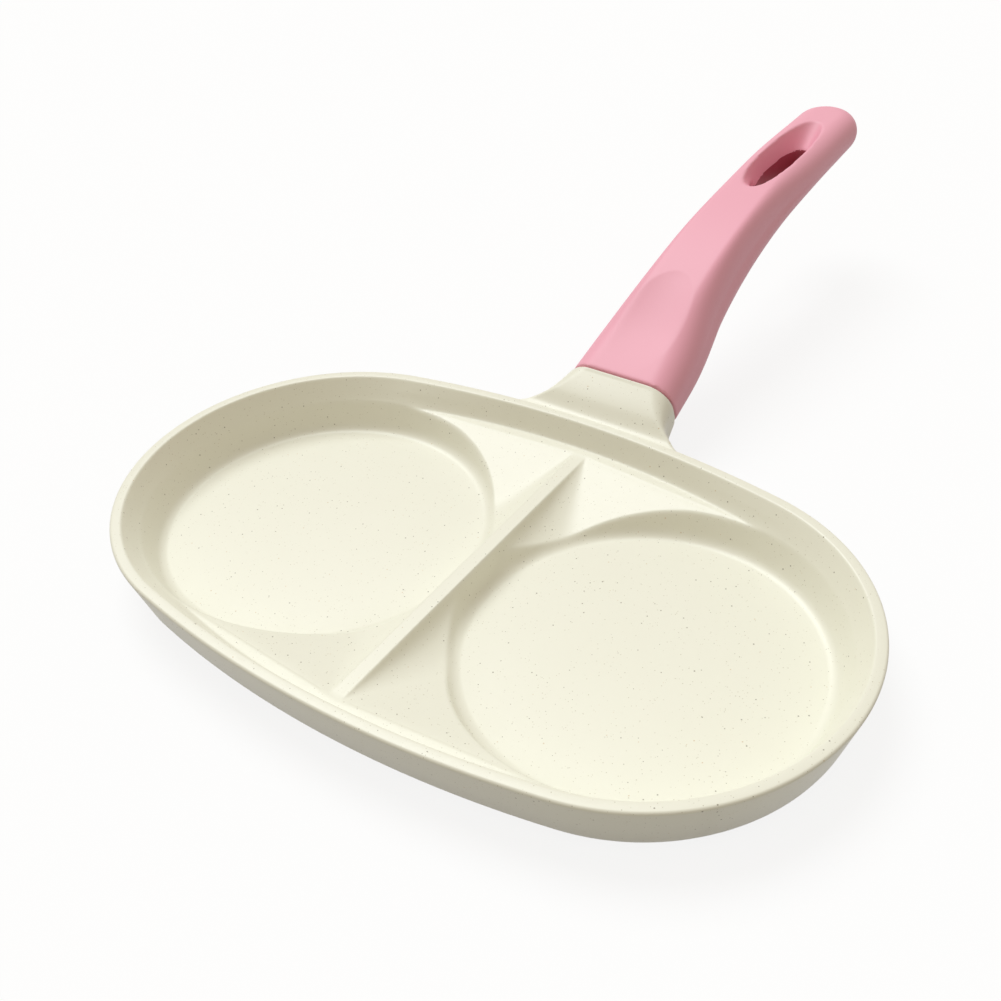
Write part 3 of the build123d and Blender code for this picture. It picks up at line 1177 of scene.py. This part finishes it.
# Bright zinc plating on steel: metallic, roughness about 0.3, patches 2 mm wide.
zinc, tree, shader = new_material("zinc_plated_steel")
place = add_node(tree, "ShaderNodeTexCoord").outputs["Object"]
patches = add_node(tree, "ShaderNodeTexNoise", Vector=place, Scale=1 / (2 * mm), Detail=3.0)
colour = paint_over(tree, linear("#c6c9cc"), patches.outputs[0], 0.6, "#b4b6b4")
skin(tree, shader, colour, patches.outputs[0], (0.22, 0.42), (0, 0))
shader.inputs["Metallic"].default_value = 1.0
print("metals:", plate_steel.name, zinc.name)

# %% Make the two plates
plate_tree, plate_inputs = pierced_plate_tree()
for name, side in (("base_plate_left", -1), ("base_plate_right", 1)):
    node_name = name.replace("plate", "disc")
    plate = bpy.data.objects.new(name, bpy.data.meshes.new(name))
    bpy.context.scene.collection.objects.link(plate)
    modifier = plate.modifiers.new("pierced", "NODES")
    modifier.node_group = plate_tree
    low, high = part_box(node_name)
    modifier[plate_inputs["Centre"]] = (low + high) / 2
    modifier[plate_inputs["Radius"]] = (high.x - low.x) / 2
    modifier[plate_inputs["Thickness"]] = high.z - low.z
    modifier[plate_inputs["Hole Radius"]] = hole_radius * mm
    modifier[plate_inputs["Pitch"]] = hole_pitch * mm
    modifier[plate_inputs["Material"]] = plate_steel
    apply_modifiers(plate)
    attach(plate, "root")
    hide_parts(node_name)
    print(name, triangle_count(plate), "triangles")

# %% [markdown]
# ## Dress the pieces
#
# Each piece gets its material. The faces inside the throat of the hang hole get a darker pink
# that is painted shade, standing in for the shade deep in the hole, and the bolt and the
# washers of the CAD model keep their shape and get the zinc.

# %% Dress the pieces
for piece, material in ((pan, coating), (neck, coating), (grip, moulding)):
    dress(piece, material)

throat_margin = 0.4
throat_start = hang_throat_depth + 0.2
faces_down = -0.5
# The throat's faces get the painted shade: a darker pink for the shade deep in the hang hole.
grip.data.materials.append(throat_painted_shade)
for face in grip.data.polygons:
    x, y, z = (value / mm for value in face.center)
    along = (y - joint_y - hang_reach) * cos(hang_tilt) + (z - hang_top) * sin(hang_tilt)
    below = (y - joint_y - hang_reach) * sin(hang_tilt) - (z - hang_top) * cos(hang_tilt)
    in_length = abs(along) < hang_throat[0] / 2 + throat_margin
    in_width = abs(x) < hang_throat[1] / 2 + throat_margin
    if in_length and in_width and below > throat_start and not face.normal.z < faces_down:
        face.material_index = 1
for name in ("handle_bolt", "flat_washer", "spring_washer"):
    dress(nodes[name], zinc)
print("dressed", pan.name, neck.name, grip.name, "and three nodes of the CAD model")

# %% [markdown]
# ## Floor and light
#
# The photograph has a white ground with hardly a shadow. The floor is white where the camera or
# a reflection sees it, yet throws only a little light back up, so the pan's outer walls stay in
# soft shade. One broad lamp stands high behind the pan and to its left, and the surroundings
# fill in the rest.

# %% Floor
floor_size = 6.0
floor_mesh = bpy.data.meshes.new("floor")
half = floor_size / 2
floor_mesh.from_pydata(
    [(-half, -half, 0), (half, -half, 0), (half, half, 0), (-half, half, 0)], [], [(0, 1, 2, 3)]
)
floor = bpy.data.objects.new("floor", floor_mesh)
bpy.context.scene.collection.objects.link(floor)


def seen_directly(tree):
    """1 for what the camera sees, also through glass or in a reflection, and 0 otherwise."""
    path = add_node(tree, "ShaderNodeLightPath")
    sum_of_rays = path.outputs["Is Camera Ray"]
    for kind in ("Is Glossy Ray", "Is Transmission Ray"):
        sum_of_rays = add_node(
            tree, "ShaderNodeMath", {"operation": "MAXIMUM"}, _0=sum_of_rays, _1=path.outputs[kind]
        ).outputs[0]
    return sum_of_rays


paper_shadow = 0.14
paper, tree, shader = new_material("white_paper")
shader.inputs["Roughness"].default_value = 1.0
shader.inputs["Specular IOR Level"].default_value = 0.0
direct = seen_directly(tree)
colour = paint_over(tree, linear("#a8a8a6"), direct, 1.0, "#fbfbfb")
tree.links.new(colour, shader.inputs["Base Color"])
glow = add_node(tree, "ShaderNodeEmission", Color=(1, 1, 1, 1), Strength=1.0)
amount = add_node(
    tree, "ShaderNodeMath", {"operation": "MULTIPLY"}, _0=direct, _1=1 - paper_shadow
)
mix = add_node(
    tree, "ShaderNodeMixShader", _0=amount.outputs[0], _1=shader.outputs[0], _2=glow.outputs[0]
)
tree.links.new(mix.outputs[0], tree.nodes["Material Output"].inputs["Surface"])
dress(floor, paper)

# %% Light
surroundings_colour = "#fff1dd"
surroundings_strength = 0.455
key_colour = "#f5fbff"
key_strength = 2.0
key_spread = radians(35)
key_from = Vector((-0.45, 0.24, 0.86))

world = bpy.data.worlds.new("studio")
bpy.context.scene.world = world
world.use_nodes = True
tree = world.node_tree
surroundings = tree.nodes["Background"]
surroundings.inputs["Color"].default_value = linear(surroundings_colour)
surroundings.inputs["Strength"].default_value = surroundings_strength
white = add_node(tree, "ShaderNodeBackground", Color=(1, 1, 1, 1), Strength=1.0)
mix = add_node(
    tree,
    "ShaderNodeMixShader",
    _0=add_node(tree, "ShaderNodeLightPath").outputs["Is Camera Ray"],
    _1=surroundings.outputs[0],
    _2=white.outputs[0],
)
tree.links.new(mix.outputs[0], tree.nodes["World Output"].inputs["Surface"])

key_data = bpy.data.lights.new("key", "SUN")
key_data.energy = key_strength
key_data.color = linear(key_colour)[:3]
key_data.angle = key_spread
key = bpy.data.objects.new("key", key_data)
key.rotation_mode = "QUATERNION"
key.rotation_quaternion = key_from.to_track_quat("Z", "Y")
bpy.context.scene.collection.objects.link(key)

bpy.context.scene.view_settings.view_transform = "Standard"
